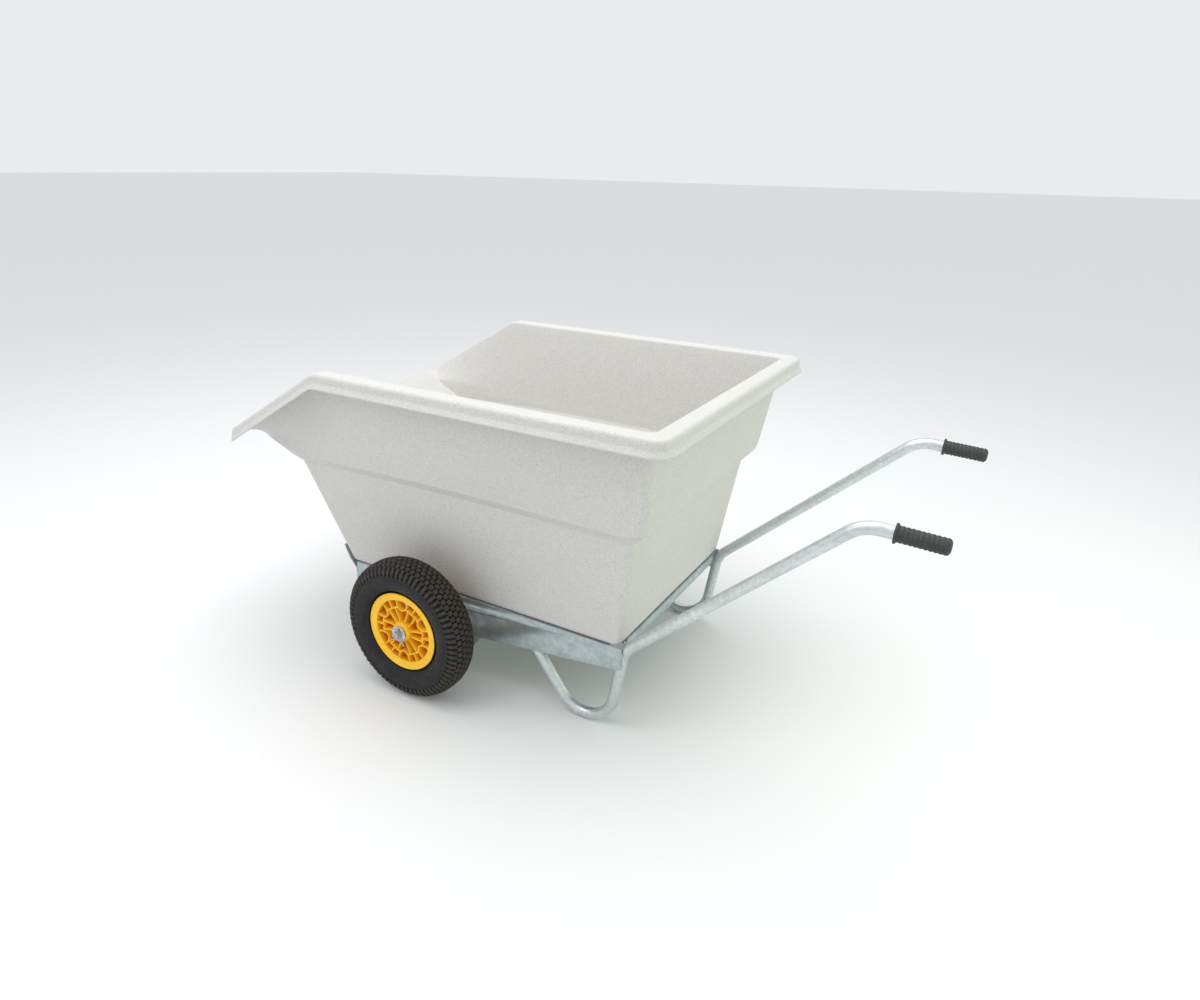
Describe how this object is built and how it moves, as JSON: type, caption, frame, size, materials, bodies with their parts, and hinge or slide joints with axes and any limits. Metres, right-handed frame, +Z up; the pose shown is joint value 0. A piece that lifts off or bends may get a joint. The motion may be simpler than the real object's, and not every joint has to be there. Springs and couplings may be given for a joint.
{
  "type": "wheelbarrow",
  "caption": "Two-wheeled hand barrow: deep moulded tub with a pouring lip on a galvanised frame, bent tube legs and handles, pneumatic wheels on plastic rims.",
  "frame": {"origin": "centre of the overall bounding box, on the ground under the wheels and legs", "axes": "+X back towards the handles, +Y to the right-hand side of a person who pushes it, +Z up"},
  "size_m": [1.9302, 1.0836, 0.873],
  "materials": {
    "tub_plastic": "fine granite fleck, satin",
    "galvanised_sheet": "hot-dip galvanised, light spangle",
    "galvanised_tube": "hot-dip galvanised, smooth",
    "axle_steel": "turned, zinc plated",
    "zinc_fasteners": "bright zinc plated",
    "grip_rubber": "ribbed, matt",
    "tyre_rubber": "turf tread, matt",
    "tube_rubber": "smooth, dusted",
    "rim_plastic": "moulded, semi-gloss",
    "bush_plastic": "natural nylon",
    "valve_rubber": "smooth"
  },
  "bodies": {
    "root": {"tub": "tub_plastic", "tub_bolts": "zinc_fasteners", "tub_washers": "zinc_fasteners", "tub_nuts": "zinc_fasteners", "front_bolts": "zinc_fasteners", "front_nuts": "zinc_fasteners", "left_side_rail": "galvanised_sheet", "right_side_rail": "galvanised_sheet", "front_cross_rail": "galvanised_sheet", "front_upstand": "galvanised_sheet", "rear_cross_rail": "galvanised_sheet", "front_bearer": "galvanised_sheet", "rear_bearer": "galvanised_sheet", "rear_gussets": "galvanised_sheet", "left_axle_bracket": "galvanised_sheet", "right_axle_bracket": "galvanised_sheet", "left_handle_tube": "galvanised_tube", "right_handle_tube": "galvanised_tube", "left_grip": "grip_rubber", "right_grip": "grip_rubber", "axle": "axle_steel", "left_spacer": "axle_steel", "right_spacer": "axle_steel", "left_inner_washer": "zinc_fasteners", "right_inner_washer": "zinc_fasteners", "left_outer_washer": "zinc_fasteners", "right_outer_washer": "zinc_fasteners", "left_split_pin": "zinc_fasteners", "right_split_pin": "zinc_fasteners"},
    "left_wheel": {"left_tyre": "tyre_rubber", "left_inner_tube": "tube_rubber", "left_rim_outer": "rim_plastic", "left_rim_inner": "rim_plastic", "left_outer_bush": "bush_plastic", "left_inner_bush": "bush_plastic", "left_rim_screws": "zinc_fasteners", "left_rim_nuts": "zinc_fasteners", "left_valve_stem": "valve_rubber", "left_valve_cap": "valve_rubber"},
    "right_wheel": {"right_tyre": "tyre_rubber", "right_inner_tube": "tube_rubber", "right_rim_outer": "rim_plastic", "right_rim_inner": "rim_plastic", "right_outer_bush": "bush_plastic", "right_inner_bush": "bush_plastic", "right_rim_screws": "zinc_fasteners", "right_rim_nuts": "zinc_fasteners", "right_valve_stem": "valve_rubber", "right_valve_cap": "valve_rubber"}
  },
  "joints": [
    {"name": "left_wheel_spin", "type": "hinge", "parent": "root", "child": "left_wheel", "pos_m": [-0.307, -0.48, 0.2], "axis": [0, 1, 0], "continuous": true},
    {"name": "right_wheel_spin", "type": "hinge", "parent": "root", "child": "right_wheel", "pos_m": [-0.307, 0.48, 0.2], "axis": [0, 1, 0], "continuous": true}
  ]
}
